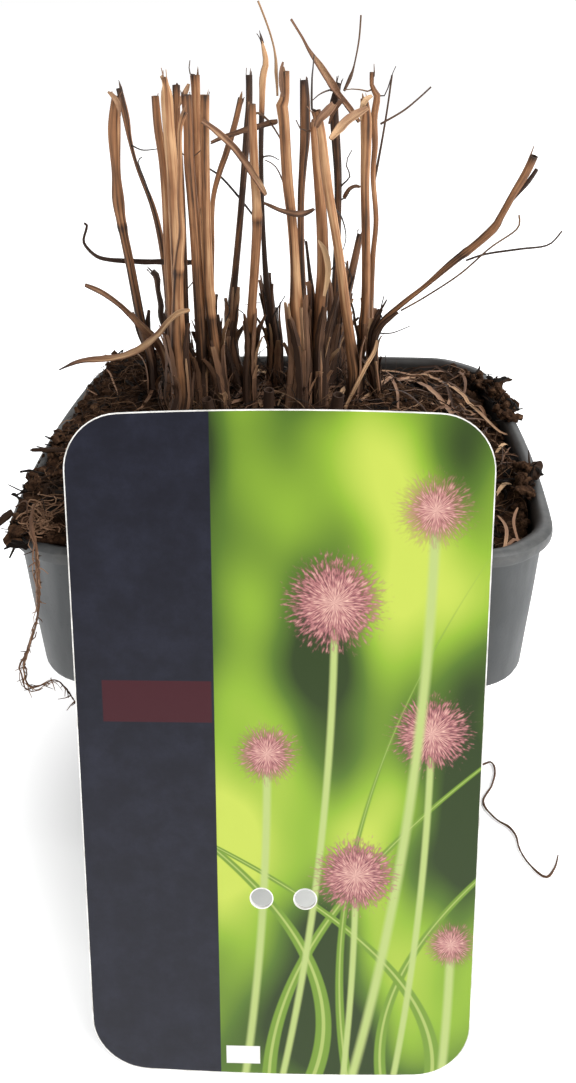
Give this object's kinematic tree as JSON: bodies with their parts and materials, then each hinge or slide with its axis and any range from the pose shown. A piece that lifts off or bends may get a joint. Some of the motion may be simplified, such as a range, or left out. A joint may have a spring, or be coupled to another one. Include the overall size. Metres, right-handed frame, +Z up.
{
  "type": "potted fountain grass",
  "caption": "Fountain grass cut back to dry stems in a square grey nursery pot, with peat spilling over the rim and a plant label leaning on its front.",
  "frame": {"origin": "middle of the pot's flat base, on the surface that the pot stands on", "axes": "+Z up, the pot's front and the label face -Y, +X is to the right seen from the front"},
  "size_m": [0.1101, 0.126, 0.1652],
  "materials": {
    "pot_plastic": "moulded recycled polypropylene, slightly dusty",
    "peat": "loose peat and coir",
    "label_card": "printed plastic card",
    "dry_stem": "dry cut grass stem",
    "dry_leaf": "dry grass blade",
    "dry_stalk": "thin dry stalk",
    "root": "fibrous root",
    "bark": "composted bark"
  },
  "bodies": {
    "root": {"pot": "pot_plastic", "soil": "peat", "plant_label": "label_card", "awn_far_right": "dry_stalk", "awn_right_tall": "dry_stalk", "awn_tallest": "dry_stalk", "bark_chip_back_right": "bark", "bark_chip_left_corner": "bark", "bark_chip_left_front": "bark", "bark_chip_right": "bark", "leaf_arching_left": "dry_leaf", "leaf_bent_over": "dry_leaf", "leaf_black_curl": "dry_leaf", "leaf_collar": "dry_leaf", "leaf_crosswise": "dry_leaf", "leaf_curled_right": "dry_leaf", "leaf_diagonal": "dry_leaf", "leaf_forked": "dry_leaf", "leaf_pale_foot": "dry_leaf", "leaf_wide_strap": "dry_leaf", "leaf_wrapped": "dry_leaf", "root_on_floor": "root", "root_over_rim": "root", "stem_black": "dry_stem", "stem_brown_left": "dry_stem", "stem_dark_back": "dry_stem", "stem_dark_tip": "dry_stem", "stem_far_left": "dry_stem", "stem_far_right": "dry_stem", "stem_front_left": "dry_stem", "stem_grey_left": "dry_stem", "stem_jointed": "dry_stem", "stem_leaning": "dry_stem", "stem_low_node": "dry_stem", "stem_pale_left": "dry_stem", "stem_right": "dry_stem", "stem_slanted": "dry_stem", "stem_split": "dry_stem", "stem_spreading": "dry_stem", "stem_straw": "dry_stem", "stem_stub_curled": "dry_stem", "stem_stub_dark": "dry_stem", "stem_stub_right": "dry_stem", "stem_tall_dark": "dry_stem", "stem_tall_left": "dry_stem", "stem_tan": "dry_stem", "stem_thin_left": "dry_stem", "stub_back_left": "dry_stem", "stub_back_middle": "dry_stem", "stub_front_left": "dry_stem", "stub_front_middle": "dry_stem", "stub_front_right": "dry_stem", "wire_behind_left": "dry_stalk", "wire_right": "dry_stalk", "wire_spreading_long": "dry_stalk", "wire_spreading_low": "dry_stalk"}
  },
  "joints": []
}
